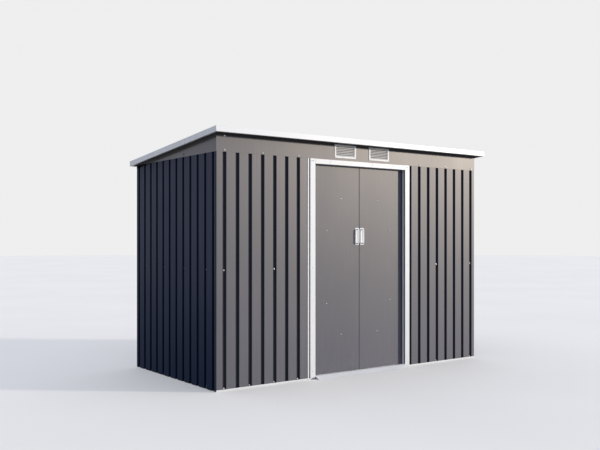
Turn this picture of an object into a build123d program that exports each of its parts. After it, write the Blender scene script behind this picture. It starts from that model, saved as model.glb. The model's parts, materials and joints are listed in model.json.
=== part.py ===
# Pent-roof metal tool shed with two sliding doors.
# Frame: X runs along the front, Y from the front to the rear, Z up from the floor the rails rest on.
# The origin is under the middle of the roof. All sizes are in millimetres and degrees.

import math
import os

from build123d import *

# Overall building
wall_width = 2470
wall_depth = 1230
panel_height = 1560
header_height = 131
roof_slope = 5.3
side_overhang = 41
front_overhang = 71
rear_overhang = 38

# Wall sheet and its pressed grooves
wall_sheet = 1.0
rear_pitch = 100
side_pitch = 104
front_pitch = 99
groove_mouth = 29
groove_floor = 15
groove_depth = 12
groove_bend = 3
least_margin = 40
left_margin = 61
right_margin = 46
panel_overlap = 12
corner_return = 15
corner_bend = 3

# Doorway, its frame and its ramp
door_opening = 870
jamb_face = 46
jamb_proud = 8
jamb_flange = 8
bead_gap = 7
bead_width = 12
bead_proud = 3
bead_bend = 1.5
head_face = 36
frame_sheet = 1.0
frame_bend = 2.5
ramp_reach = 52
ramp_rise = 22
ramp_sheet = 1.5

# Sliding doors
door_clearance = 5
door_thickness = 20
door_overlap = 30
door_lip = 12
door_sheet = 1.0
door_edge_round = 3
door_bottom = 24
door_top_lap = 8
brace_bar_width = 34
brace_bar_crown = 17
brace_bar_depth = 12
upper_brace_drop = 266
lower_brace_height = 309
upright_brace_inset = 117

# Door handles
handle_height = 126
handle_width = 39
handle_plate = 3
handle_plate_round = 9
handle_spacing = 8
handle_centre_height = 1010
grip_width = 14
grip_thickness = 8
grip_standoff = 24
grip_end = 7
grip_bend = 9
grip_chamfer = 2.5

# Door runners and the tracks they run in
running_gap = 0.3
guide_gap = 0.5
track_sheet = 1.5
track_width = 50
track_height = 30
track_slot = 12
runner_head_height = 12
runner_length = 50
runner_inset = 55
lip_height = 12
guide_rib_width = 6
guide_rib_height = 20
shoe_height = 16
shoe_wall = 5
base_track_depth = 60
base_track_flange = 25

# Base rails, corner posts and wall braces
rail_sheet = 1.5
rail_flange = 45
rail_upstand = 40
post_leg = 40
post_sheet = 1.5
brace_height = 787
brace_face = 50
brace_hollow = 25
brace_depth = 4
brace_sheet = 1.0

# Header, gables and roof
header_sheet = 1.0
header_flange = 25
rear_header_lap = 25
roof_sheet = 1.0
roof_panels = 3
ribs_per_panel = 4
rib_height = 18
rib_base = 46
rib_crest = 26
trim_sheet = 1.0
trim_bend = 2.5
trim_drop = 20
trim_top_flange = 22
trim_bottom_flange = 15
beam_height = 40
beam_flange = 25
beam_sheet = 1.5

# Louvred vents in the header
vent_width = 202
vent_height = 98
vent_gap = 126
vent_pair_shift = 6
vent_lift = 17
vent_border = 14
vent_proud = 3
vent_edge_chamfer = 1
vent_collar = 2
vent_collar_depth = 7
vent_slats = 6
vent_slat_chord = 13
vent_slat_thickness = 1.6
vent_slat_tilt = 40
vent_fit = 0.5

# How far a cutting block reaches past what it cuts
overrun = 1

# Worked-out places
pitch_fall = math.tan(math.radians(roof_slope))
half_width = wall_width / 2
front_y = -(wall_depth + rear_overhang - front_overhang) / 2
rear_y = front_y + wall_depth
sheet_inset = groove_depth + wall_sheet
inner_x = half_width - sheet_inset
inner_front_y = front_y + sheet_inset
inner_rear_y = rear_y - sheet_inset
wall_bottom = rail_sheet
wall_top = panel_height + panel_overlap
header_top = panel_height + header_height
half_opening = door_opening / 2
frame_outer = half_opening + jamb_face
wall_edge = half_opening + frame_sheet
door_middle_y = inner_front_y + track_width / 2
door_front_y = door_middle_y - door_thickness / 2
head_bottom = panel_height - head_face
door_top = head_bottom + door_top_lap
upper_brace_height = door_top - upper_brace_drop
door_outer = half_opening + door_overlap
door_inner = door_clearance / 2
door_width = door_outer - door_inner
track_bottom = wall_top - track_height
vent_places = [vent_pair_shift + side * (vent_gap + vent_width) / 2 for side in (-1, 1)]
vent_z = panel_height + vent_lift + vent_height / 2
roof_frame = Pos(0, front_y, header_top) * Rot(-roof_slope, 0, 0)
roof_front = -front_overhang / math.cos(math.radians(roof_slope))
roof_rear = (wall_depth + rear_overhang) / math.cos(math.radians(roof_slope))
roof_half_width = half_width + side_overhang
rib_top = roof_sheet + rib_height


def sheet_section(points, thickness, bends=0):
    """Section of a bent sheet whose one face follows the points, with the sheet on their left.

    bends is the radius of that face at every bend, or a list with one radius for each.
    """
    if not isinstance(bends, list):
        bends = [bends] * (len(points) - 2)
    path = FilletPolyline(*points, radius=bends) if any(bends) else Polyline(*points)
    outline = offset(path, amount=thickness, side=Side.LEFT, kind=Kind.INTERSECTION, closed=True)
    return make_face(outline)


def along_x(section, low, high):
    """Extrude a section drawn as (y, z) from x = low to x = high."""
    return Pos(low, 0, 0) * extrude(Plane.YZ * section, amount=high - low)


def along_y(section, low, high):
    """Extrude a section drawn as (x, z) from y = low to y = high."""
    return Pos(0, high, 0) * extrude(Plane.XZ * section, amount=high - low)


def upright(section, low, high):
    """Extrude a section drawn as (x, y) from z = low to z = high."""
    return Pos(0, 0, low) * extrude(section, amount=high - low)


def block(low, high):
    """A box between two opposite corners."""
    size = [b - a for a, b in zip(low, high)]
    centre = [(a + b) / 2 for a, b in zip(low, high)]
    return Pos(*centre) * Box(*size)


def mirrored(shape):
    """The same piece on the other side of the middle of the front."""
    return mirror(shape, about=Plane.YZ)


def roof_height(y):
    """Height of the roof sheet's underside above a place y."""
    return header_top - (y - front_y) * pitch_fall


def groove_centres(length, pitch):
    """Centres of the grooves along a wall that keeps the least margin at both ends."""
    count = int((length - 2 * least_margin) // pitch) + 1
    first = (length - (count - 1) * pitch) / 2
    return [first + i * pitch for i in range(count)]


def grooved_panel(low, high, centres, returns=()):
    """A wall panel with its outer face on y = 0 and its grooves pressed in towards +Y.

    returns names the ends, "low" or "high", that turn the wall's corner.
    """
    points = [(low, 0)]
    bends = []
    if "low" in returns:
        points.insert(0, (low, corner_return))
        bends.append(corner_bend)
    for centre in centres:
        if low < centre < high:
            points.append((centre - groove_mouth / 2, 0))
            points.append((centre - groove_floor / 2, groove_depth))
            points.append((centre + groove_floor / 2, groove_depth))
            points.append((centre + groove_mouth / 2, 0))
            bends += [groove_bend, 0, 0, groove_bend]
    points.append((high, 0))
    if "high" in returns:
        points.append((high, corner_return))
        bends.append(corner_bend)
    return upright(sheet_section(points, wall_sheet, bends), wall_bottom, wall_top)


# Walls


def front_wall(margin, covered):
    """Wall at the left of the doorway.

    margin is the first groove's distance from the corner, and covered is the width beside the jamb's
    face that stays without grooves.
    """
    free = half_width - frame_outer - covered
    count = int((free - margin - groove_mouth / 2) // front_pitch) + 1
    centres = [margin + i * front_pitch for i in range(count)]
    return Pos(-half_width, front_y, 0) * grooved_panel(0, half_width - wall_edge, centres, ["low"])


def side_wall_panels():
    """Front and rear panels of the left wall, between the returns of the front and rear walls."""
    centres = groove_centres(wall_depth, side_pitch)
    middle = wall_depth / 2
    place = Pos(-half_width, rear_y, 0) * Rot(0, 0, -90)
    front = place * grooved_panel(middle, wall_depth - corner_return, centres)
    rear = place * grooved_panel(corner_return, middle, centres)
    return front, rear


def rear_wall_panels():
    centres = groove_centres(wall_width, rear_pitch)
    third = len(centres) // 3
    seams = [0]
    seams += [centres[third * i] - rear_pitch / 2 for i in (1, 2)]
    seams.append(wall_width)
    place = Pos(half_width, rear_y, 0) * Rot(0, 0, 180)
    returns = (["low"], [], ["high"])
    return [place * grooved_panel(a, b, centres, ends) for a, b, ends in zip(seams, seams[1:], returns)]


# Base


def base_track():
    """Front rail: a lip before the wall, a plate under it, the doors' guide rib and a rear flange."""
    rib_low = door_middle_y - guide_rib_width / 2
    rib_high = door_middle_y + guide_rib_width / 2
    path = [
        (front_y - track_sheet, lip_height),
        (front_y - track_sheet, 0),
        (rib_low + track_sheet, 0),
        (rib_low + track_sheet, guide_rib_height - track_sheet),
        (rib_high - track_sheet, guide_rib_height - track_sheet),
        (rib_high - track_sheet, 0),
        (front_y + base_track_depth, 0),
        (front_y + base_track_depth, base_track_flange),
    ]
    track = along_x(sheet_section(path, track_sheet), -half_width, half_width)
    notch_low = (-half_width - overrun, front_y + track_sheet, track_sheet)
    notch_high = (
        -inner_x + post_leg + overrun,
        front_y + base_track_depth + overrun,
        base_track_flange + overrun,
    )
    notch = block(notch_low, notch_high)
    return track - notch - mirrored(notch)


def rail_section():
    """Angle with its upstand against the wall at 0 and its foot reaching inwards."""
    return sheet_section([(0, rail_upstand), (0, 0), (rail_flange, 0)], rail_sheet)


def side_rail():
    low = front_y + base_track_depth
    high = inner_rear_y - rail_flange
    return Pos(-inner_x, 0, 0) * along_y(rail_section(), low, high)


def rear_rail():
    rail = along_x(rail_section(), -inner_x, inner_x)
    rail = Pos(0, inner_rear_y, 0) * mirror(rail, about=Plane.XZ)
    notch = block(
        (-inner_x - overrun, inner_rear_y - rail_flange, rail_sheet),
        (-inner_x + post_leg + overrun, inner_rear_y + overrun, rail_upstand + overrun),
    )
    return rail - notch - mirrored(notch)


def threshold_ramp():
    """Folded strip between the jambs, from the ground before the door to behind the lip."""
    path = [
        (door_front_y - door_clearance, track_sheet),
        (door_front_y - door_clearance, ramp_rise),
        (front_y - 2 * track_sheet, ramp_rise),
        (front_y - ramp_reach, 0),
    ]
    section = sheet_section(path, ramp_sheet)
    section = section & Pos(front_y, ramp_rise / 2) * Rectangle(4 * ramp_reach, ramp_rise)
    return along_x(section, -half_opening, half_opening)


def corner_post(top):
    """Angle post with its legs towards +X and +Y from the corner."""
    return upright(sheet_section([(0, post_leg), (0, 0), (post_leg, 0)], post_sheet), track_sheet, top)


# Header, gables and what closes the rear under the roof


def header_section(outer_y, low, side):
    """Face and sloping top flange; side is 1 for the front and -1 for the rear."""
    face_y = outer_y - side * header_sheet
    path = [(face_y, low), (face_y, roof_height(face_y))]
    inner = face_y + side * header_flange
    path.append((inner, roof_height(inner)))
    ordered = path[::-1] if side > 0 else path
    return sheet_section(ordered, header_sheet)


def front_header():
    header = along_x(header_section(front_y, panel_height, 1), -half_width, half_width)
    hole_width = vent_width - 2 * vent_border + 2 * vent_collar + 2 * vent_fit
    hole_height = vent_height - 2 * vent_border + 2 * vent_collar + 2 * vent_fit
    for x in vent_places:
        header -= Pos(x, front_y, vent_z) * Box(hole_width, 4 * header_sheet, hole_height)
    return header


def rear_header():
    return along_x(header_section(rear_y, panel_height - rear_header_lap, -1), -half_width, half_width)


def gable():
    """Wedge under the roof's left edge, with a flange that follows the slope."""
    drop = header_height + header_flange
    path = [(-half_width - header_sheet, -drop), (-half_width - header_sheet, 0)]
    path.append((-half_width + header_flange, 0))
    strip = along_y(sheet_section(path[::-1], header_sheet), roof_front, roof_rear)
    strip = roof_frame * strip
    low = (-half_width - header_sheet, front_y + header_flange, panel_height)
    high = (-half_width + header_flange, rear_y - header_flange, header_top)
    body = strip & block(low, high)
    web_ends = strip & block(
        (-half_width - header_sheet, front_y - header_sheet, panel_height),
        (-half_width, rear_y + header_sheet, header_top + overrun),
    )
    return body + web_ends


# Roof


def roof_panel(index):
    width = 2 * (roof_half_width - trim_sheet) / roof_panels
    rib_pitch = width / ribs_per_panel
    low = -roof_half_width + trim_sheet + index * width
    points = [(low, 0)]
    for i in range(ribs_per_panel):
        centre = low + (i + 0.5) * rib_pitch
        points.append((centre - rib_base / 2, 0))
        points.append((centre - rib_crest / 2, rib_height))
        points.append((centre + rib_crest / 2, rib_height))
        points.append((centre + rib_base / 2, 0))
    points.append((low + width, 0))
    section = sheet_section(points, roof_sheet)
    return roof_frame * along_y(section, roof_front + trim_bend, roof_rear - trim_bend)


def roof_trim(length):
    """Channel round one roof edge, along X with its web on y = 0, mitred at both ends."""
    top = rib_top + trim_sheet
    path = [(trim_bottom_flange, -trim_drop), (0, -trim_drop), (0, top), (trim_top_flange, top)]
    channel = along_x(sheet_section(path[::-1], trim_sheet, trim_bend), -length / 2, length / 2)
    reach = trim_top_flange
    corners = [(-length / 2, 0), (length / 2, 0), (length / 2 - reach, reach), (-length / 2 + reach, reach)]
    mitre = upright(make_face(Polyline(*corners, close=True)), -2 * trim_drop, 2 * top)
    return channel & mitre


def roof_beam():
    """Channel across the middle of the shed, its ends tucked under the gable flanges."""
    top = -header_sheet
    path = [(beam_flange, top), (0, top), (0, top - beam_height), (beam_flange, top - beam_height)]
    section = sheet_section(path, beam_sheet)
    return roof_frame * Pos(0, wall_depth / 2, 0) * along_x(section, -half_width, half_width)


# Doorway


def jamb_section(flange):
    """Section of the left jamb: flange on the wall, outer return, face and inner return."""
    flange_y = front_y - frame_sheet
    path = [
        (-frame_outer - flange, flange_y),
        (-frame_outer, flange_y),
        (-frame_outer, front_y - jamb_proud),
        (-half_opening, front_y - jamb_proud),
        (-half_opening, door_front_y - door_clearance),
    ]
    return sheet_section(path, frame_sheet, [0, frame_bend, frame_bend])


def bead_section():
    """Section of the bead that stands up from the wall beside the left jamb's face."""
    inner = -frame_outer - bead_gap
    outer = inner - bead_width
    crown = front_y - bead_proud
    path = [(outer, front_y), (outer, crown), (inner, crown), (inner, front_y)]
    return sheet_section(path, frame_sheet, bead_bend)


def door_jamb(section):
    jamb = upright(section, lip_height, panel_height)
    track_room = block(
        (-frame_outer, inner_front_y, track_bottom),
        (-half_opening + overrun, door_front_y, panel_height + overrun),
    )
    return jamb - track_room


def door_head():
    path = [
        (door_front_y - door_clearance, head_bottom),
        (front_y - jamb_proud, head_bottom),
        (front_y - jamb_proud, panel_height),
        (front_y - header_sheet, panel_height),
    ]
    return along_x(sheet_section(path[::-1], frame_sheet, frame_bend), -half_opening, half_opening)


def upper_track():
    """Channel with inturned lips behind the wall heads, that the doors hang in."""
    half = track_width / 2
    lip = track_slot / 2
    path = [(-lip, 0), (-half, 0), (-half, track_height), (half, track_height), (half, 0), (lip, 0)]
    section = sheet_section(path[::-1], track_sheet)
    return Pos(0, door_middle_y, track_bottom) * along_x(section, -inner_x, inner_x)


# Vents


def vent():
    """Louvre with a border on the header's face, a collar through it and tilted slats."""
    hole_width = vent_width - 2 * vent_border
    hole_height = vent_height - 2 * vent_border
    border = Box(vent_width, vent_proud, vent_height, align=(Align.CENTER, Align.MAX, Align.CENTER))
    border = fillet(border.edges().filter_by(Axis.Y), vent_proud)
    border = chamfer(border.faces().sort_by(Axis.Y)[0].edges(), vent_edge_chamfer)
    collar = Box(
        hole_width + 2 * vent_collar,
        vent_collar_depth,
        hole_height + 2 * vent_collar,
        align=(Align.CENTER, Align.MIN, Align.CENTER),
    )
    through = vent_proud + vent_collar_depth
    opening = Pos(0, through / 2 - vent_proud, 0) * Box(hole_width, through, hole_height)
    louvre = border + collar - opening
    slat_pitch = hole_height / vent_slats
    slat = Rot(vent_slat_tilt, 0, 0) * Box(hole_width, vent_slat_chord, vent_slat_thickness)
    for i in range(vent_slats):
        slat_z = (i + 0.5) * slat_pitch - hole_height / 2
        louvre += Pos(0, through / 2 - vent_proud, slat_z) * slat & opening
    return Pos(0, front_y - header_sheet, vent_z) * louvre


# Wall braces


def brace_section():
    """Shallow tray open towards the wall at y = 0, drawn as (y, z)."""
    tray = Rectangle(brace_depth, brace_face, align=(Align.MIN, Align.CENTER))
    return tray - Rectangle(brace_depth - brace_sheet, brace_hollow, align=(Align.MIN, Align.CENTER))


def wall_braces():
    height = Pos(0, 0, brace_height)
    front = height * Pos(0, inner_front_y, 0) * along_x(brace_section(), -inner_x + post_leg, -wall_edge)
    rear = along_x(brace_section(), -inner_x + post_leg, inner_x - post_leg)
    rear = height * Pos(0, inner_rear_y, 0) * mirror(rear, about=Plane.XZ)
    side_low = inner_front_y + post_leg
    side_high = inner_rear_y - post_leg
    side = height * Pos(-inner_x, 0, 0) * along_y(brace_section(), side_low, side_high)
    return Compound(children=[front, mirrored(front), rear, side, mirrored(side)])


# Sliding door, drawn for the left leaf


def door_leaf():
    """Pan of sheet with rounded edges folded back and turned in."""
    height = door_top - door_bottom
    pan = Box(door_width, door_thickness, height)
    front_edges = pan.faces().sort_by(Axis.Y)[0].edges().filter_by(Axis.Z)
    pan = fillet(front_edges, door_edge_round)
    hollow = Box(door_width - 2 * door_sheet, door_thickness - 2 * door_sheet, height - 2 * door_sheet)
    front_edges = hollow.faces().sort_by(Axis.Y)[0].edges().filter_by(Axis.Z)
    hollow = fillet(front_edges, door_edge_round - door_sheet)
    window = Box(door_width - 2 * door_lip, 2 * door_thickness, height - 2 * door_lip)
    leaf = pan - hollow - Pos(0, door_thickness, 0) * window
    middle_x = -(door_inner + door_outer) / 2
    return Pos(middle_x, door_middle_y, (door_top + door_bottom) / 2) * leaf


def brace_bar(length):
    """Hat bar along X, its flanges on y = 0 and its crown towards +Y, drawn about its middle."""
    half = brace_bar_width / 2
    crown = brace_bar_crown / 2
    path = [
        (0, -half),
        (0, -crown),
        (brace_bar_depth, -crown),
        (brace_bar_depth, crown),
        (0, crown),
        (0, half),
    ]
    section = Pos(door_sheet, 0) * sheet_section(path, door_sheet)
    return along_x(section, -length / 2, length / 2)


def door_brace():
    """Two level bars across the leaf and an upright bar between them."""
    inner_width = door_width - 2 * door_edge_round
    middle_x = -(door_inner + door_outer) / 2
    face_y = door_front_y + door_sheet
    brace = None
    for z in (upper_brace_height, lower_brace_height):
        bar = Pos(middle_x, face_y, z) * brace_bar(inner_width)
        brace = bar if brace is None else brace + bar
    length = upper_brace_height - lower_brace_height - brace_bar_width
    upright_x = -door_outer + upright_brace_inset
    bar = Rot(0, 90, 0) * brace_bar(length)
    return brace + Pos(upright_x, face_y, (upper_brace_height + lower_brace_height) / 2) * bar


def door_handle():
    """Plate on the leaf beside the seam, with a bow-shaped grip that leaves room for the fingers."""
    plate = RectangleRounded(handle_width, handle_height, handle_plate_round)
    plate = extrude(Plane.XZ * plate, amount=handle_plate)
    reach = handle_height / 2 - grip_end - grip_thickness / 2
    crown = grip_thickness / 2 - grip_standoff
    foot = -handle_plate / 2
    bow = FilletPolyline(
        (0, foot, reach), (0, crown, reach), (0, crown, -reach), (0, foot, -reach), radius=grip_bend
    )
    section = chamfer(Rectangle(grip_width, grip_thickness).vertices(), grip_chamfer)
    start = Plane(origin=bow @ 0, x_dir=(1, 0, 0), z_dir=bow % 0)
    pull = plate + sweep(start * section, path=bow)
    middle_x = -(handle_spacing + handle_width) / 2
    return Pos(middle_x, door_front_y, handle_centre_height) * pull


def door_runners():
    """Two hanging slides in the upper track and two shoes astride the guide rib."""
    head_width = track_width - 2 * track_sheet - 2 * running_gap
    stem_width = track_slot - 2 * running_gap
    head_bottom_z = track_bottom + track_sheet + running_gap
    half = guide_rib_width / 2 + guide_gap
    pieces = []
    for x in (-door_outer + runner_inset, -door_inner - runner_inset):
        head = Pos(0, 0, head_bottom_z + runner_head_height / 2) * Box(
            runner_length, head_width, runner_head_height
        )
        stem = block(
            (-runner_length / 2, -stem_width / 2, door_top),
            (runner_length / 2, stem_width / 2, head_bottom_z + runner_head_height / 2),
        )
        pieces.append(Pos(x, door_middle_y, 0) * (head + stem))
        bottom = door_bottom - shoe_height
        shoe = block(
            (-runner_length / 2, -half - shoe_wall, bottom),
            (runner_length / 2, half + shoe_wall, door_bottom),
        )
        slot = block(
            (-runner_length, -half, bottom - overrun),
            (runner_length, half, guide_rib_height + guide_gap),
        )
        pieces.append(Pos(x, door_middle_y, 0) * (shoe - slot))
    return Compound(children=pieces)


def build():
    """Every piece of the shed by the name of its node."""
    parts = {}

    def pair(name, shape):
        parts["left_" + name] = shape
        parts["right_" + name] = mirrored(shape)

    parts["front_base_track"] = base_track()
    parts["rear_base_rail"] = rear_rail()
    pair("base_rail", side_rail())
    parts["threshold_ramp"] = threshold_ramp()
    parts["front_left_wall"] = front_wall(left_margin, bead_gap + bead_width)
    parts["front_right_wall"] = mirrored(front_wall(right_margin, 0))
    front_panel, rear_panel = side_wall_panels()
    pair("wall_front_panel", front_panel)
    pair("wall_rear_panel", rear_panel)
    for name, panel in zip(("right", "middle", "left"), rear_wall_panels()):
        parts[f"rear_wall_{name}_panel"] = panel
    front_post = Pos(-inner_x, inner_front_y, 0) * corner_post(track_bottom)
    rear_post = Pos(-inner_x, inner_rear_y, 0) * mirror(corner_post(panel_height), about=Plane.XZ)
    pair("front_post", front_post)
    pair("rear_post", rear_post)
    parts["front_header"] = front_header()
    parts["rear_header"] = rear_header()
    pair("gable_panel", gable())
    parts["upper_door_track"] = upper_track()
    parts["left_door_jamb"] = door_jamb(jamb_section(bead_gap + frame_sheet) + bead_section())
    parts["right_door_jamb"] = mirrored(door_jamb(jamb_section(jamb_flange)))
    parts["door_head_trim"] = door_head()
    for name, x in zip(("left", "right"), vent_places):
        parts[name + "_vent"] = Pos(x, 0, 0) * vent()
    parts["wall_braces"] = wall_braces()
    parts["roof_beam"] = roof_beam()
    for index, name in enumerate(("left", "middle", "right")):
        parts[f"roof_{name}_panel"] = roof_panel(index)
    front_trim = Pos(0, roof_front, 0) * roof_trim(2 * roof_half_width)
    rear_trim = Pos(0, roof_rear, 0) * Rot(0, 0, 180) * roof_trim(2 * roof_half_width)
    side_place = Pos(-roof_half_width, (roof_front + roof_rear) / 2, 0) * Rot(0, 0, -90)
    parts["front_roof_trim"] = roof_frame * front_trim
    parts["rear_roof_trim"] = roof_frame * rear_trim
    pair("roof_trim", roof_frame * side_place * roof_trim(roof_rear - roof_front))
    pair("door_leaf", door_leaf())
    pair("door_brace", door_brace())
    pair("door_handle", door_handle())
    pair("door_runners", door_runners())
    return parts


os.makedirs("parts", exist_ok=True)
for node, shape in build().items():
    export_step(shape, f"parts/{node}.step")
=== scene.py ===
# Metal tool shed: the looks, the small pieces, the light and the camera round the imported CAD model.
# Everything is in metres in the CAD model's own frame: +X to the right of the front, +Y to the rear, +Z up.

import json
import math
import random

import bmesh
import bpy
from mathutils import Matrix, Vector


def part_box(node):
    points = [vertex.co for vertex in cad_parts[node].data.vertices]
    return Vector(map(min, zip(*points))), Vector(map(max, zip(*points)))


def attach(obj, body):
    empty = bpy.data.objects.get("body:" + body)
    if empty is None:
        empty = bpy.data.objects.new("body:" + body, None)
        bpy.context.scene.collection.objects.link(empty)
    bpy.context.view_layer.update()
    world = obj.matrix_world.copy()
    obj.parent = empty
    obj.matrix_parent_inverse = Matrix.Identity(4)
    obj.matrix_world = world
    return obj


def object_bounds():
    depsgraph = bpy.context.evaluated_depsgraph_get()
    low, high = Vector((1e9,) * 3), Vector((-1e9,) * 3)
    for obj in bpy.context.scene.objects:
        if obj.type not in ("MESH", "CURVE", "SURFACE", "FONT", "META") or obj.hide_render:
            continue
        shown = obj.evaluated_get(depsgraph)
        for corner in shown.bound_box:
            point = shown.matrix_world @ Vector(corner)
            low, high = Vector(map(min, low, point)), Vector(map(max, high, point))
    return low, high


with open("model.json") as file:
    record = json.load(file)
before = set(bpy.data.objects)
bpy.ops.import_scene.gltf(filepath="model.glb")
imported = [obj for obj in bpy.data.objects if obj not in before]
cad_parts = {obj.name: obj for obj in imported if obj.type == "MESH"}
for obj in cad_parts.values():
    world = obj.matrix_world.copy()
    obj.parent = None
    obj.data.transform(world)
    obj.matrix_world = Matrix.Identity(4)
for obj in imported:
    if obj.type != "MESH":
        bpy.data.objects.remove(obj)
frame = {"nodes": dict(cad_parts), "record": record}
cad_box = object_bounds()
MM = 0.001

# Places taken from the frame

FRONT_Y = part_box("front_left_wall")[0].y
REAR_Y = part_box("rear_wall_middle_panel")[1].y
SIDE_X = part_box("front_right_wall")[1].x
DOOR_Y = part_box("left_door_leaf")[0].y
DOOR_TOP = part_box("right_door_leaf")[1].z
HEADER_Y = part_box("front_header")[0].y
HEADER_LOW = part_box("front_header")[0].z
JAMB_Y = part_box("left_door_jamb")[0].y
JAMB_RETURN_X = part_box("right_door_jamb")[0].x
HEAD_TRIM_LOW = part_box("door_head_trim")[0].z
VENT_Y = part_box("left_vent")[0].y
ROOF_HALF = cad_box[1].x
WALL_DEPTH = REAR_Y - FRONT_Y

# Sizes that repeat the CAD model's

SHEET = 1 * MM
GROOVE_DEPTH = 12 * MM
HEADER_TOP = HEADER_LOW + 131 * MM
ROOF_SLOPE = math.radians(5.3)
FRONT_OVERHANG = 71 * MM
REAR_OVERHANG = 38 * MM
RIB_TOP = 19 * MM
RIB_COUNT = 12
BRACE_Z = 787 * MM
HANDLE_X, HANDLE_Z = 23.5 * MM, 1010 * MM
HANDLE_PLATE = 3 * MM


def groove_row(end, sign, first, pitch, count):
    """Middles of a wall's grooves from one of its ends; first and pitch are in millimetres."""
    return [end + sign * (first + pitch * i) * MM for i in range(count)]


LEFT_GROOVES = groove_row(-SIDE_X, 1, first=61, pitch=99, count=7)
RIGHT_GROOVES = groove_row(SIDE_X, -1, first=46, pitch=99, count=8)
SIDE_GROOVES = groove_row(FRONT_Y, 1, first=43, pitch=104, count=12)
REAR_GROOVES = groove_row(-SIDE_X, 1, first=85, pitch=100, count=24)

# Directions

LEFT, RIGHT = Vector((-1, 0, 0)), Vector((1, 0, 0))
FRONT, REAR = Vector((0, -1, 0)), Vector((0, 1, 0))
UP = Vector((0, 0, 1))
SIDES = (("left", -1, LEFT), ("right", 1, RIGHT))

# The roof sheet's underside: its frame, its upward direction and its distance from the origin

ROOF_FRAME = Matrix.Translation((0, FRONT_Y, HEADER_TOP)) @ Matrix.Rotation(-ROOF_SLOPE, 4, "X")
ROOF_UP = (ROOF_FRAME.to_3x3() @ UP).normalized()
ROOF_PLANE = ROOF_UP.dot(ROOF_FRAME.translation)

# Places of the small pieces

FOOT_SCREW_Z = 16 * MM
HEADER_SCREW_Z = HEADER_LOW + 12 * MM
HEADER_CORNER_SCREW_Z = 1.665
REAR_PANEL_SCREW_Z = 1.548
REAR_HEADER_SCREW_Z = 1.566
REAR_HEADER_SCREW_X = (-1.18, -0.8, -0.4, 0.0, 0.4, 0.8, 1.18)
GABLE_SCREW_Z = 1.577
GABLE_SCREW_Y = (FRONT_Y + 0.45, REAR_Y - 0.38, REAR_Y - 0.06)
NUT_BEHIND = 5 * MM
JAMB_SCREW_X = 458 * MM
JAMB_SCREW_Z = (0.06, 0.79)
HEAD_TRIM_SCREW_X = (0.10, 0.30)
HEAD_TRIM_SCREW_Z = 1.543
CORNER_SCREW_SPREAD = 7 * MM
VENT_SCREW_INSET = 7 * MM
DOOR_SCREWS_XZ = ((0.1755, 1.284), (0.307, 1.052), (0.307, 0.527), (0.1755, 0.295))
HANDLE_SCREW_SPREAD = (13 * MM, 46 * MM)
ROOF_SCREW_FROM_FRONT, ROOF_SCREW_FROM_REAR = 68 * MM, 50 * MM
ROOF_SCREW_PAST_MIDDLE = 12 * MM
LAP_RISE = 0.7 * MM
LAP_BEFORE, LAP_AFTER = 16 * MM, 2 * MM
LAP_FOOT = 2 * MM
REAR_LAP_BELOW_TOP = 25 * MM
REAR_LAPS_X = (-SIDE_X + 0.835, -SIDE_X + 1.635)
HEADER_JOINT_X = -0.888

# Tones of the grey paint, what lies on it and the painted shade on it, as linear red, green and blue

PAINT = ((0.047, 0.056, 0.086), (0.055, 0.064, 0.094))
# Warm tint of the paint's gloss: a painted sheen standing in for warm sunlight
SUNLIT_GLOSS_TINT = (1.0, 0.895, 0.76)
PAINT_GRAIN = (0.20, 0.20, 0.22)
RAIN_RUN = (0.15, 0.148, 0.150)
SPLASH = (0.18, 0.17, 0.16)
DUST = (0.25, 0.24, 0.225)
# Painted shade of the grooves' recesses, near black
GROOVE_SHADE = (0.004, 0.008, 0.019)
# Painted shade under the roof's overhang
EAVES_SHADE = (0.004, 0.004, 0.006)
PRIMER = ((0.34, 0.345, 0.34), (0.40, 0.40, 0.39))
# Painted shade at the foot of the shaded walls
FOOT_SHADE_TONE = (0.012, 0.022, 0.048)

# Depths below the roof sheet at which the painted shade under the eaves begins to fade and ends
SIDE_EAVES = (34 * MM, 50 * MM)
HEADER_EAVES = (23 * MM, 31 * MM)

# Tone, strength and height of the dust at a wall's foot, and of the painted shade that darkens the foot of
# the rear and side walls
FOOT_DUST = ((0.23, 0.24, 0.27), 0.08, 1.0)
FOOT_SHADE_STRONG = (FOOT_SHADE_TONE, 0.95, 1.2)
FOOT_SHADE_MILD = (FOOT_SHADE_TONE, 0.45, 1.2)

# Camera, worked out from the photo's vanishing points

CAMERA_LENS, CAMERA_SENSOR, CAMERA_SHIFT = 46.09, 36, 0.0219
CAMERA_PLACE = (-3.7215, -4.9286, 0.9971)
CAMERA_TURN = -36.088

camera_data = bpy.data.cameras.new("camera")
camera_data.lens = CAMERA_LENS
camera_data.sensor_width = CAMERA_SENSOR
camera_data.shift_y = CAMERA_SHIFT
camera = bpy.data.objects.new("camera", camera_data)
camera.location = CAMERA_PLACE
camera.rotation_euler = (math.radians(90), 0, math.radians(CAMERA_TURN))
bpy.context.scene.collection.objects.link(camera)
bpy.context.scene.camera = camera
bpy.context.scene.view_settings.view_transform = "Standard"


# Material nodes


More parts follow.
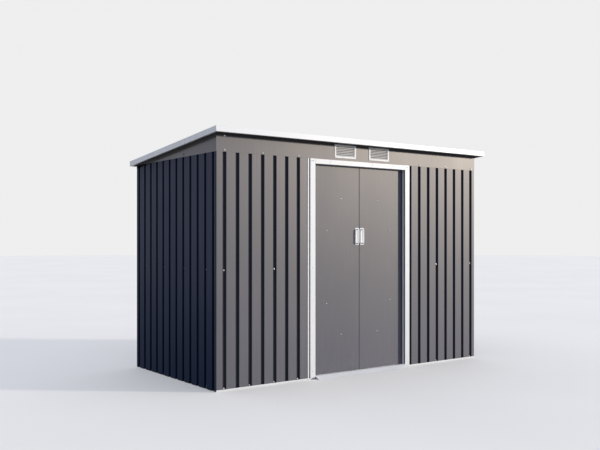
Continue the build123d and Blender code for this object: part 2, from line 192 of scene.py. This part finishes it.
class Look:
    """A procedural material, built up node by node round one Principled shader."""

    def __init__(self, name):
        self.material = bpy.data.materials.new(name)
        self.material.use_nodes = True
        self.tree = self.material.node_tree
        self.shader = self.tree.nodes["Principled BSDF"]
        self.place = self.node("ShaderNodeTexCoord").outputs["Object"]

    def node(self, kind, **settings):
        made = self.tree.nodes.new(kind)
        for key, value in settings.items():
            setattr(made, key, value)
        return made

    def feed(self, socket, value):
        """Link a socket to another node's output, or set its own value."""
        if isinstance(value, bpy.types.NodeSocket):
            self.tree.links.new(value, socket)
        else:
            socket.default_value = value

    def noise(self, scale, detail, stretch=(1, 1, 1), roughness=0.5):
        mapping = self.node("ShaderNodeMapping")
        self.feed(mapping.inputs["Vector"], self.place)
        mapping.inputs["Scale"].default_value = stretch
        made = self.node("ShaderNodeTexNoise")
        self.feed(made.inputs["Vector"], mapping.outputs["Vector"])
        made.inputs["Scale"].default_value = scale
        made.inputs["Detail"].default_value = detail
        made.inputs["Roughness"].default_value = roughness
        return made.outputs["Fac"]

    def cells(self, scale):
        """A random value from 0 to 1 for each cell."""
        made = self.node("ShaderNodeTexVoronoi")
        self.feed(made.inputs["Vector"], self.place)
        made.inputs["Scale"].default_value = scale
        split = self.node("ShaderNodeSeparateColor")
        self.feed(split.inputs[0], made.outputs["Color"])
        return split.outputs[0]

    def dot(self, vector, direction):
        made = self.node("ShaderNodeVectorMath", operation="DOT_PRODUCT")
        self.feed(made.inputs[0], vector)
        made.inputs[1].default_value = direction
        return made.outputs["Value"]

    def sunk(self, outward, plane):
        """How deep a point lies behind a plane that faces outward."""
        return self.math("SUBTRACT", plane, self.dot(self.place, outward))

    def facing(self, direction):
        """How far the surface faces a direction, from -1 to 1."""
        return self.dot(self.node("ShaderNodeNewGeometry").outputs["Normal"], direction)

    def height(self):
        """Height above the ground."""
        split = self.node("ShaderNodeSeparateXYZ")
        self.feed(split.inputs[0], self.place)
        return split.outputs["Z"]

    def span(self, value, low, high, out_low=0.0, out_high=1.0, smooth=True):
        """Map low..high to out_low..out_high, and hold the ends outside."""
        made = self.node("ShaderNodeMapRange")
        made.interpolation_type = "SMOOTHSTEP" if smooth else "LINEAR"
        names = ("Value", "From Min", "From Max", "To Min", "To Max")
        for name, item in zip(names, (value, low, high, out_low, out_high)):
            self.feed(made.inputs[name], item)
        return made.outputs["Result"]

    def math(self, operation, a, b):
        made = self.node("ShaderNodeMath", operation=operation)
        self.feed(made.inputs[0], a)
        self.feed(made.inputs[1], b)
        return made.outputs[0]

    def times(self, a, b):
        return self.math("MULTIPLY", a, b)

    def plus(self, a, b):
        return self.math("ADD", a, b)

    def blend(self, factor, first, second):
        """Mix two colours, each a tone or a socket."""
        made = self.node("ShaderNodeMix", data_type="RGBA")
        sockets = (made.inputs[0], made.inputs[6], made.inputs[7])
        for socket, value in zip(sockets, (factor, first, second)):
            if isinstance(value, tuple):
                value = (*value, 1.0)
            self.feed(socket, value)
        return made.outputs[2]

    def mottled(self, scale, detail, tones):
        """Two tones that drift into each other."""
        return self.blend(self.span(self.noise(scale, detail), 0.3, 0.7), *tones)

    def splashed(self, color, tone, height, spots):
        """Dirt splashed up by rain, thinner with height above the ground."""
        low = self.span(self.height(), 0.0, height, 1.0, 0.0)
        return self.blend(self.times(self.times(low, spots), 0.16), color, tone)

    def bump(self, height, strength, distance, under=None):
        """Raise the surface by a height; under is a coarser or finer bump that it adds to."""
        made = self.node("ShaderNodeBump")
        made.inputs["Strength"].default_value = strength
        made.inputs["Distance"].default_value = distance
        self.feed(made.inputs["Height"], height)
        if under is not None:
            self.feed(made.inputs["Normal"], under)
        return made.outputs["Normal"]

    def finish(self, color, roughness, normal=None, metallic=0.0, specular=0.5, tint=None):
        """Feed the shader and give the material back."""
        self.feed(self.shader.inputs["Base Color"], color)
        self.feed(self.shader.inputs["Roughness"], roughness)
        if normal is not None:
            self.feed(self.shader.inputs["Normal"], normal)
        self.shader.inputs["Metallic"].default_value = metallic
        self.shader.inputs["Specular IOR Level"].default_value = specular
        if tint is not None:
            self.shader.inputs["Specular Tint"].default_value = (*tint, 1.0)
        return self.material


def grey_paint(name, outward, gloss, plane=None, eaves=None, foot=None):
    """Anthracite coil paint outside, pale primer inside, with settled dust, faint rain runs and painted
    shade.

    plane is how far the wall's face lies from the origin; painted shade darkens the grooves behind it.
    eaves is how far painted shade reaches below the roof sheet, solid at first and then faded out.
    foot is the tone, strength and height of the dust, or of the painted shade, at the wall's foot.
    """
    look = Look(name)
    color = look.mottled(1.7, 3.0, PAINT)
    color = look.blend(look.span(look.noise(1400.0, 1.0), 0.35, 0.75, 0.0, 0.12), color, PAINT_GRAIN)
    runs = look.span(look.noise(9.0, 3.0, stretch=(9, 9, 0.35)), 0.52, 0.75, 0.0, 0.13)
    color = look.blend(runs, color, RAIN_RUN)
    spots = look.span(look.noise(55.0, 6.0, stretch=(1, 1, 0.6), roughness=0.65), 0.45, 0.7)
    color = look.splashed(color, SPLASH, 0.22, spots)
    # The foot: dust on the front, painted shade darkening the rear and side walls towards the ground
    if foot is not None:
        tone, strength, height = foot
        color = look.blend(look.span(look.height(), 0.0, height, strength, 0.0), color, tone)
    level = look.span(look.facing(UP), 0.75, 0.98)
    patches = look.noise(6.0, 7.0, stretch=(1, 0.45, 1), roughness=0.62)
    dust = look.times(level, look.span(patches, 0.38, 0.7, 0.10, 0.5))
    color = look.blend(dust, color, DUST)
    rough = look.span(look.noise(4.0, 3.0, stretch=(1, 1, 0.4)), 0.3, 0.7, 0.42, 0.44)
    rough = look.plus(rough, look.times(dust, 0.35))
    if plane is not None:
        # Painted shade: the grooves go near black behind the wall's face
        groove_shade = look.span(look.sunk(outward, plane), 0.2 * MM, 2.5 * MM, 0.0, 0.9)
        color = look.blend(groove_shade, color, GROOVE_SHADE)
        rough = look.plus(rough, look.times(groove_shade, 0.6))
    if eaves is not None:
        # Painted shade below the roof sheet, under the eaves
        eaves_shade = look.span(look.sunk(ROOF_UP, ROOF_PLANE), *eaves, 0.9, 0.0)
        color = look.blend(eaves_shade, color, EAVES_SHADE)
        rough = look.plus(rough, look.times(eaves_shade, 0.4))
    inside = look.span(look.facing(outward), -0.25, -0.15, 1.0, 0.0)
    color = look.blend(inside, color, look.mottled(3.0, 4.0, PRIMER))
    peel = look.bump(look.noise(520.0, 2.0), 0.05, 0.3 * MM)
    waves = look.bump(look.noise(2.2, 1.0, stretch=(1, 1, 0.4)), 0.12, 6 * MM, peel)
    return look.finish(color, rough, waves, specular=gloss, tint=SUNLIT_GLOSS_TINT)


def white_paint(name, bead_shade=None):
    """White coil paint of the trims, greyer near the ground and where rain has run.

    bead_shade is how far a jamb's flange lies behind the wall's face, or less than 0 where it stands
    before it; painted shade darkens the gap along the jamb's bead there.
    """
    look = Look(name)
    color = look.mottled(3.0, 4.0, ((0.75, 0.755, 0.75), (0.79, 0.795, 0.79)))
    runs = look.span(look.noise(12.0, 4.0, stretch=(7, 7, 0.5)), 0.52, 0.78, 0.0, 0.20)
    color = look.blend(runs, color, (0.62, 0.60, 0.56))
    spots = look.span(look.noise(40.0, 6.0, roughness=0.65), 0.42, 0.68)
    color = look.splashed(color, (0.55, 0.52, 0.47), 0.12, spots)
    # Painted shade in the gap along the jamb's bead
    if bead_shade is not None:
        depth = look.sunk(FRONT, -FRONT_Y)
        begins = look.span(depth, bead_shade - 1.2 * MM, bead_shade)
        ends = look.span(depth, bead_shade + 0.3 * MM, bead_shade + 0.8 * MM, 1.0, 0.0)
        color = look.blend(look.times(look.times(begins, ends), 0.9), color, (0.035, 0.036, 0.042))
    rough = look.span(look.noise(30.0, 4.0), 0.3, 0.7, 0.32, 0.44)
    peel = look.bump(look.noise(520.0, 2.0), 0.10, 0.4 * MM)
    return look.finish(color, rough, peel)


def zinc(name):
    """Galvanised sheet with its spangle."""
    look = Look(name)
    spangle = look.cells(85.0)
    color = look.blend(spangle, (0.48, 0.50, 0.52), (0.68, 0.70, 0.72))
    stain = look.span(look.noise(9.0, 6.0), 0.5, 0.75, 0.0, 0.35)
    color = look.blend(stain, color, (0.42, 0.42, 0.41))
    rough = look.span(spangle, 0.0, 1.0, 0.30, 0.50, smooth=False)
    grain = look.bump(look.noise(900.0, 2.0), 0.12, 0.2 * MM)
    return look.finish(color, rough, grain, metallic=0.85)


def plastic(name, tones, roughness, front=None):
    """Moulded plastic with a fine grain; behind its front plane, if it has one, it is greyer with dust and
    painted shade.
    """
    look = Look(name)
    color = look.mottled(14.0, 5.0, tones)
    if front is not None:
        # Behind the front plane: dust, and painted shade of the recessed louvres
        dust = look.span(look.sunk(FRONT, -front), 1.5 * MM, 4 * MM, 0.0, 0.6)
        color = look.blend(dust, color, (0.50, 0.475, 0.43))
    rough = look.span(look.noise(60.0, 4.0), 0.3, 0.7, *roughness)
    grain = look.bump(look.noise(1500.0, 2.0), 0.18, 0.3 * MM)
    return look.finish(color, rough, grain)


def steel(name, tone, rust):
    """Zinc-plated fastener steel, dulled in places and with a few rust spots."""
    look = Look(name)
    dull = look.span(look.noise(120.0, 4.0), 0.4, 0.7)
    color = look.blend(dull, tone, tuple(v * 0.72 for v in tone))
    spots = look.span(look.noise(300.0, 3.0), 0.62, 0.75, 0.0, rust)
    color = look.blend(spots, color, (0.20, 0.10, 0.05))
    return look.finish(color, look.span(dull, 0.0, 1.0, 0.28, 0.5), metallic=0.9)


# Outward direction, gloss, the plane of a grooved face, the painted shade below the eaves and the foot
# The gloss is set face by face as painted light: high where a face is to look sunlit and bright, low where
# it is to look shaded
GREY_PAINTS = {
    "front_left": (FRONT, 0.66, -FRONT_Y, None, FOOT_DUST),
    "front_right": (FRONT, 0.50, -FRONT_Y, None, FOOT_DUST),
    "door": (FRONT, 0.545, None, None, FOOT_DUST),
    "rear": (REAR, 0.08, REAR_Y, None, FOOT_SHADE_MILD),
    "left": (LEFT, 0.02, SIDE_X, SIDE_EAVES, FOOT_SHADE_STRONG),
    "right": (RIGHT, 0.08, SIDE_X, SIDE_EAVES, FOOT_SHADE_MILD),
    "roof": (UP, 0.16),
    "header": (FRONT, 0.65, None, HEADER_EAVES),
    "left_gable": (LEFT, 0.80, None, SIDE_EAVES),
    "right_gable": (RIGHT, 0.60, None, SIDE_EAVES),
}
GREY = {side: grey_paint("grey_paint_" + side, *values) for side, values in GREY_PAINTS.items()}
MOULDED_WHITE = ((0.78, 0.78, 0.765), (0.84, 0.84, 0.83))
WHITE = white_paint("white_trim")
ZINC = zinc("zinc_steel")
JAMB = white_paint("white_jamb", bead_shade=-1 * MM)
HANDLE = plastic("white_plastic", MOULDED_WHITE, (0.42, 0.56))
VENT = plastic("vent_plastic", MOULDED_WHITE, (0.42, 0.56), front=VENT_Y)
SLIDE = plastic("black_plastic", ((0.035, 0.036, 0.038), (0.055, 0.056, 0.058)), (0.35, 0.5))
SCREW = steel("screw_steel", (0.62, 0.63, 0.64), rust=0.25)
DARK_SCREW = steel("dark_screw_steel", (0.26, 0.26, 0.27), rust=0.2)
WASHER = plastic("washer_plastic", ((0.42, 0.43, 0.43), (0.50, 0.50, 0.50)), (0.4, 0.55))
RUBBER = plastic("black_rubber", ((0.028, 0.028, 0.029), (0.04, 0.04, 0.04)), (0.6, 0.75))
BY_SLOT = {"white_trim": WHITE, "zinc_steel": ZINC, "white_plastic": VENT, "black_plastic": SLIDE}


def look_of(node, slot):
    """The material of a CAD node, from the record's slot and the way the piece faces."""
    if "jamb" in node:
        return JAMB
    if "handle" in node:
        return HANDLE
    if slot in BY_SLOT:
        return BY_SLOT[slot]
    if node.startswith(("roof", "rear")):
        return GREY[node.split("_")[0]]
    if node == "front_header":
        return GREY["header"]
    if "gable" in node:
        return GREY[node.replace("_panel", "")]
    if node.startswith(("left_wall", "right_wall")):
        return GREY[node.split("_")[0]]
    if "door" in node:
        return GREY["door"]
    return GREY[node.replace("_wall", "")]


slots = {row["node"]: row["material_slot"] for row in frame["record"]["subparts"]}
for node, shown in frame["nodes"].items():
    if not shown.material_slots:
        shown.data.materials.append(None)
    for place in shown.material_slots:
        place.material = look_of(node, slots[node])


# Mesh helpers; a shape is its verts, its faces and each face's material index


def link(name, mesh, body, materials):
    """Make an object of a mesh and let it ride on a body."""
    for material in materials:
        mesh.materials.append(material)
    made = bpy.data.objects.new(name, mesh)
    bpy.context.scene.collection.objects.link(made)
    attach(made, body)
    return made


def lathe(profile, sides, index=0):
    """Closed body turned round Z from (radius, height) points, from foot to tip."""
    verts, faces = [], []
    for radius, height in profile:
        for i in range(sides):
            turn = 2 * math.pi * i / sides
            verts.append((radius * math.cos(turn), radius * math.sin(turn), height))
    for ring in range(len(profile) - 1):
        for i in range(sides):
            a, b = ring * sides + i, ring * sides + (i + 1) % sides
            faces.append((a, b, b + sides, a + sides))
    faces.append(tuple(reversed(range(sides))))
    top = (len(profile) - 1) * sides
    faces.append(tuple(range(top, top + sides)))
    return verts, faces, [index] * len(faces)


def joined(*shapes):
    verts, faces, indices = [], [], []
    for part_verts, part_faces, part_indices in shapes:
        base = len(verts)
        verts += part_verts
        faces += [tuple(base + i for i in face) for face in part_faces]
        indices += part_indices
    return verts, faces, indices


def as_mesh(name, shape):
    """Mesh of a shape, smooth apart from its sharp edges."""
    verts, faces, indices = shape
    mesh = bpy.data.meshes.new(name)
    mesh.from_pydata(verts, [], faces)
    mesh.polygons.foreach_set("material_index", indices)
    mesh.polygons.foreach_set("use_smooth", [True] * len(faces))
    mesh.update()
    mesh.set_sharp_from_angle(angle=math.radians(40.0))
    return mesh


def mesh_of(name, tool):
    """Mesh of a bmesh, which is freed."""
    mesh = bpy.data.meshes.new(name)
    tool.to_mesh(mesh)
    tool.free()
    return mesh


def cut_cross(shape, reach, width, top, depth):
    """Sink a cross recess, narrower at its bottom, into the head of a screw."""
    tool = bmesh.new()
    for long, across in ((reach, width), (width, reach)):
        for vert in bmesh.ops.create_cube(tool, size=1.0)["verts"]:
            x, y, z = vert.co
            taper = 1.0 if z > 0 else 0.55
            vert.co = (x * long * taper, y * across * taper, top + z * 2 * depth)
    head = bpy.data.objects.new("head", as_mesh("head", shape))
    cutter = bpy.data.objects.new("cutter", mesh_of("cutter", tool))
    for item in (head, cutter):
        bpy.context.scene.collection.objects.link(item)
    cut = head.modifiers.new("cross", "BOOLEAN")
    cut.operation, cut.solver, cut.object, cut.use_self = "DIFFERENCE", "EXACT", cutter, True
    bpy.context.view_layer.update()
    result = bpy.data.meshes.new_from_object(head.evaluated_get(bpy.context.evaluated_depsgraph_get()))
    verts = [tuple(v.co) for v in result.vertices]
    faces = [tuple(p.vertices) for p in result.polygons]
    for item in (head, cutter):
        bpy.data.objects.remove(item)
    return verts, faces, [0] * len(faces)


def pan_screw(head, washer=None):
    """Cross-recessed pan head, by its diameter, and the plastic washer below it, if it has one."""
    base = 1.1 * MM if washer else 0.0
    r = head / 2
    rounding = ((0.96, 0.0), (1, 0.10), (1, 0.30), (0.93, 0.48), (0.76, 0.62), (0.5, 0.71), (0.22, 0.75))
    dome = lathe([(r * out, base + r * up) for out, up in rounding], 20)
    cap = cut_cross(dome, r * 1.15, r * 0.26, base + r * 0.78, r * 0.45)
    if not washer:
        return cap
    w = washer / 2
    ring = lathe([(w, 0), (w, base * 0.55), (w * 0.93, base * 0.95), (r * 1.02, base)], 24, 1)
    return joined(cap, ring)


def hex_prism(across, low, high):
    """Chamfered hexagon, as a nut or a bolt head has it."""
    r = across / 2 / math.cos(math.pi / 6)
    chamfer = across * 0.07
    return lathe([(r * 0.94, low), (r, low + chamfer), (r, high - chamfer), (r * 0.9, high)], 6)


def roof_screw():
    """Hexagon head with its flange on a rubber washer."""
    washer = lathe([(7 * MM, 0), (7.2 * MM, 0.8 * MM), (6.6 * MM, 1.6 * MM)], 24, 1)
    flange = lathe([(6.4 * MM, 1.6 * MM), (6.4 * MM, 2.2 * MM), (5.0 * MM, 2.8 * MM)], 24)
    return joined(washer, flange, hex_prism(8 * MM, 2.6 * MM, 6.6 * MM))


def nut_and_end():
    """Nut on its washer with the end of its bolt standing out."""
    end = lathe([(2.4 * MM, 0), (2.4 * MM, 6.2 * MM), (1.9 * MM, 6.8 * MM)], 12)
    plate = lathe([(5 * MM, 0), (5 * MM, 0.7 * MM), (4.7 * MM, 0.9 * MM)], 20)
    return joined(plate, hex_prism(8 * MM, 0.9 * MM, 4.6 * MM), end)


def at(outward, x, y, z):
    """A place for scatter, with the direction in which a screw's head points."""
    return Vector((x, y, z)), outward


def scatter(name, body, shape, places, materials, seed):
    """One piece with a copy of a shape at each place, turned at random."""
    rng = random.Random(seed)
    copies = []
    verts, faces, indices = shape
    for point, outward in places:
        turn = Matrix.Rotation(rng.uniform(0, 2 * math.pi), 4, "Z")
        move = Matrix.Translation(point) @ outward.to_track_quat("Z", "Y").to_matrix().to_4x4() @ turn
        copies.append(([tuple(move @ Vector(v)) for v in verts], faces, indices))
    return link(name, as_mesh(name, joined(*copies)), body, materials)


def strip(name, body, low, high, edge, material):
    """Thin strip between two corners, with its edges eased."""
    tool = bmesh.new()
    bmesh.ops.create_cube(tool, size=1.0)
    centre = (Vector(low) + Vector(high)) / 2
    size = Vector(high) - Vector(low)
    for vert in tool.verts:
        vert.co = Vector(vert.co[i] * size[i] + centre[i] for i in range(3))
    bmesh.ops.bevel(tool, geom=list(tool.edges), offset=edge, segments=2, affect="EDGES", profile=0.5)
    mesh = mesh_of(name, tool)
    mesh.shade_flat()
    return link(name, mesh, body, [material])


# Screws of the walls, the header and the gables, and their nuts inside

WALL_SCREW = pan_screw(9 * MM, 13 * MM)
FRONT_FLOOR = FRONT_Y + GROOVE_DEPTH
REAR_FLOOR = REAR_Y - GROOVE_DEPTH
SIDE_FLOOR = SIDE_X - GROOVE_DEPTH

front_places, rear_places, nuts = [], [], []
side_places = {"left": [], "right": []}
for x in LEFT_GROOVES[::2] + RIGHT_GROOVES[::4]:
    front_places.append(at(FRONT, x, FRONT_FLOOR, FOOT_SCREW_Z))
for x in LEFT_GROOVES[::4] + RIGHT_GROOVES[::4]:
    front_places.append(at(FRONT, x, FRONT_FLOOR, BRACE_Z))
    nuts.append(at(REAR, x, FRONT_FLOOR + NUT_BEHIND, BRACE_Z))
for x in REAR_GROOVES[1::3]:
    for z in (FOOT_SCREW_Z, BRACE_Z, REAR_PANEL_SCREW_Z):
        rear_places.append(at(REAR, x, REAR_FLOOR, z))
    nuts.append(at(FRONT, x, REAR_FLOOR - NUT_BEHIND, BRACE_Z))
for y in SIDE_GROOVES[1::3]:
    for side, sign, outward in SIDES:
        for z in (FOOT_SCREW_Z, BRACE_Z):
            side_places[side].append(at(outward, sign * SIDE_FLOOR, y, z))
        nuts.append(at(-outward, sign * (SIDE_FLOOR - NUT_BEHIND), y, BRACE_Z))
front_places.append(at(FRONT, LEFT_GROOVES[0], HEADER_Y, HEADER_CORNER_SCREW_Z))
for x in LEFT_GROOVES[::3] + RIGHT_GROOVES[::3]:
    front_places.append(at(FRONT, x, HEADER_Y, HEADER_SCREW_Z))
for x in REAR_HEADER_SCREW_X:
    rear_places.append(at(REAR, x, REAR_Y + SHEET, REAR_HEADER_SCREW_Z))
for side, sign, outward in SIDES:
    places = [at(outward, sign * (SIDE_X + SHEET), y, GABLE_SCREW_Z) for y in GABLE_SCREW_Y]
    looks = [GREY[side + "_gable"], RUBBER]
    scatter(side + "_gable_screws", "shed", WALL_SCREW, places, looks, 11)
looks = [SCREW, WASHER]
scatter("front_wall_screws", "shed", WALL_SCREW, front_places, looks, 1)
scatter("rear_wall_screws", "shed", WALL_SCREW, rear_places, looks, 2)
scatter("left_wall_screws", "shed", WALL_SCREW, side_places["left"], looks, 3)
scatter("right_wall_screws", "shed", WALL_SCREW, side_places["right"], looks, 4)
scatter("inner_nuts", "shed", nut_and_end(), nuts, [SCREW], 5)

# Screws of the door frame and the vents

SMALL_SCREW = pan_screw(6.4 * MM)
frame_places, corner_places, vent_places = [], [], []
for sign in (-1, 1):
    for z in JAMB_SCREW_Z:
        frame_places.append(at(FRONT, sign * JAMB_SCREW_X, JAMB_Y, z))
    for offset in (-CORNER_SCREW_SPREAD, CORNER_SCREW_SPREAD):
        corner_places.append(at(FRONT, sign * JAMB_SCREW_X + offset, JAMB_Y, HEAD_TRIM_SCREW_Z))
    for x in HEAD_TRIM_SCREW_X:
        frame_places.append(at(FRONT, sign * x, JAMB_Y, HEAD_TRIM_SCREW_Z))
for low, high in (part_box("left_vent"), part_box("right_vent")):
    for x in (low.x + VENT_SCREW_INSET, high.x - VENT_SCREW_INSET):
        for z in (low.z + VENT_SCREW_INSET, high.z - VENT_SCREW_INSET):
            vent_places.append(at(FRONT, x, low.y, z))
scatter("door_frame_screws", "shed", SMALL_SCREW, frame_places, [WHITE], 6)
scatter("door_corner_screws", "shed", SMALL_SCREW, corner_places, [DARK_SCREW], 12)
scatter("vent_screws", "shed", pan_screw(5 * MM), vent_places, [VENT], 7)

# Roof screws, on the rib crests along the trims and over the beam

along_slope = 1 / math.cos(ROOF_SLOPE)
rib_pitch = 2 * (ROOF_HALF - SHEET) / RIB_COUNT
roof_rows = (
    -FRONT_OVERHANG * along_slope + ROOF_SCREW_FROM_FRONT,
    WALL_DEPTH / 2 + ROOF_SCREW_PAST_MIDDLE,
    (WALL_DEPTH + REAR_OVERHANG) * along_slope - ROOF_SCREW_FROM_REAR,
)
roof_places = []
for i in range(RIB_COUNT):
    x = -ROOF_HALF + SHEET + (i + 0.5) * rib_pitch
    for y in roof_rows:
        roof_places.append((ROOF_FRAME @ Vector((x, y, RIB_TOP)), ROOF_UP))
scatter("roof_screws", "shed", roof_screw(), roof_places, [SCREW, RUBBER], 8)

# Screws of the doors and their handles

DOOR_SCREW = pan_screw(7.6 * MM)
HANDLE_SCREW = pan_screw(5.6 * MM)
aside, upward = HANDLE_SCREW_SPREAD
for side, sign, _ in SIDES:
    body = side + "_door"
    places = [at(FRONT, sign * x, DOOR_Y, z) for x, z in DOOR_SCREWS_XZ]
    scatter(body + "_screws", body, DOOR_SCREW, places, [SCREW], 9)
    places = []
    for dx in (-aside, aside):
        for dz in (-upward, upward):
            places.append(at(FRONT, sign * HANDLE_X + dx, DOOR_Y - HANDLE_PLATE, HANDLE_Z + dz))
    scatter(side + "_handle_screws", body, HANDLE_SCREW, places, [SCREW], 10)

# Lapped sheet edges, where one panel covers its neighbour

for side, sign, _ in SIDES:
    y = (FRONT_Y + REAR_Y) / 2
    low = (sign * SIDE_X - LAP_RISE, y - LAP_BEFORE, LAP_FOOT)
    high = (sign * SIDE_X + LAP_RISE, y + LAP_AFTER, HEADER_LOW)
    strip(side + "_wall_lap", "shed", low, high, 0.25 * MM, GREY[side])
for number, x in enumerate(REAR_LAPS_X):
    low = (x - LAP_BEFORE, REAR_Y - LAP_RISE, LAP_FOOT)
    high = (x + LAP_AFTER, REAR_Y + LAP_RISE, HEADER_LOW - REAR_LAP_BELOW_TOP)
    strip(f"rear_wall_lap_{number}", "shed", low, high, 0.25 * MM, GREY["rear"])
low = (HEADER_JOINT_X - 0.6 * MM, HEADER_Y - 0.25 * MM, HEADER_LOW + 0.5 * MM)
high = (HEADER_JOINT_X + 30 * MM, HEADER_Y + 0.25 * MM, HEADER_TOP - 2 * MM)
strip("header_joint", "shed", low, high, 0.1 * MM, GREY["header"])

# Meeting strip behind the gap between the doors, on the right leaf

low = (-1.5 * MM, DOOR_Y + 1.2 * MM, 30 * MM)
high = (2.6 * MM, DOOR_Y + 18 * MM, DOOR_TOP - 6 * MM)
strip("door_meeting_strip", "right_door", low, high, 0.4 * MM, GREY["door"])

# Rubber seals on the jambs' inner returns, whose dark strips also stand in for shade on the returns

for side, sign, _ in SIDES:
    ends = sorted((sign * (JAMB_RETURN_X - 1.6 * MM), sign * (JAMB_RETURN_X + 0.3 * MM)))
    low = (ends[0], JAMB_Y + 3 * MM, 26 * MM)
    high = (ends[1], JAMB_Y + 12 * MM, HEAD_TRIM_LOW - 1 * MM)
    strip(side + "_jamb_seal", "shed", low, high, 0.6 * MM, RUBBER)

# Studio: floor, world and one soft sun

FLOOR_RADIUS = 40.0
FLOOR_BELOW = 0.5 * MM
FLOOR_SEEN = ((0.76, 0.735, 0.68), (0.79, 0.765, 0.71))
FLOOR_FOR_LIGHT = (0.12, 0.12, 0.115)
FLOOR_GLOW = (0.15, 0.15, 0.15)
SKY, SKY_STRENGTH = (0.76, 0.82, 1.0), 0.85
BACKDROP = (0.86, 0.86, 0.86)
SUN, SUN_STRENGTH, SUN_WIDTH = (1.0, 0.93, 0.84), 2.75, 4.0
SUN_TURN, SUN_RISE = math.radians(39.5), math.radians(10.5)


def seen_directly(tree):
    """1 for what the camera sees, also in gloss or through glass, and 0 for what lights the object."""
    paths = tree.nodes.new("ShaderNodeLightPath").outputs
    seen = paths["Is Camera Ray"]
    for kind in ("Is Glossy Ray", "Is Transmission Ray"):
        either = tree.nodes.new("ShaderNodeMath")
        either.operation = "MAXIMUM"
        tree.links.new(seen, either.inputs[0])
        tree.links.new(paths[kind], either.inputs[1])
        seen = either.outputs[0]
    return seen


def floor_look():
    """Pale floor that throws little light back at the object and keeps its shadow."""
    look = Look("studio_floor")
    seen = seen_directly(look.tree)
    color = look.blend(seen, FLOOR_FOR_LIGHT, look.mottled(0.5, 4.0, FLOOR_SEEN))
    look.feed(look.shader.inputs["Emission Color"], (*FLOOR_GLOW, 1.0))
    look.feed(look.shader.inputs["Emission Strength"], seen)
    return look.finish(color, 0.8)


disc = bmesh.new()
bmesh.ops.create_circle(disc, cap_ends=True, segments=96, radius=FLOOR_RADIUS)
floor = bpy.data.objects.new("floor", mesh_of("floor", disc))
floor.location.z = -FLOOR_BELOW
floor.data.materials.append(floor_look())
bpy.context.scene.collection.objects.link(floor)

world = bpy.data.worlds.new("studio")
world.use_nodes = True
bpy.context.scene.world = world
tree = world.node_tree
sky = tree.nodes["Background"]
sky.inputs["Color"].default_value = (*SKY, 1.0)
sky.inputs["Strength"].default_value = SKY_STRENGTH
backdrop = tree.nodes.new("ShaderNodeBackground")
backdrop.inputs["Color"].default_value = (*BACKDROP, 1.0)
choice = tree.nodes.new("ShaderNodeMixShader")
tree.links.new(seen_directly(tree), choice.inputs[0])
tree.links.new(sky.outputs[0], choice.inputs[1])
tree.links.new(backdrop.outputs[0], choice.inputs[2])
tree.links.new(choice.outputs[0], tree.nodes["World Output"].inputs["Surface"])

sun_data = bpy.data.lights.new("sun", "SUN")
sun_data.energy = SUN_STRENGTH
sun_data.angle = math.radians(SUN_WIDTH)
sun_data.color = SUN
sun = bpy.data.objects.new("sun", sun_data)
level = math.cos(SUN_RISE)
toward_sun = Vector((level * math.cos(SUN_TURN), -level * math.sin(SUN_TURN), math.sin(SUN_RISE)))
sun.rotation_euler = toward_sun.to_track_quat("Z", "Y").to_euler()
bpy.context.scene.collection.objects.link(sun)

bpy.context.view_layer.update()
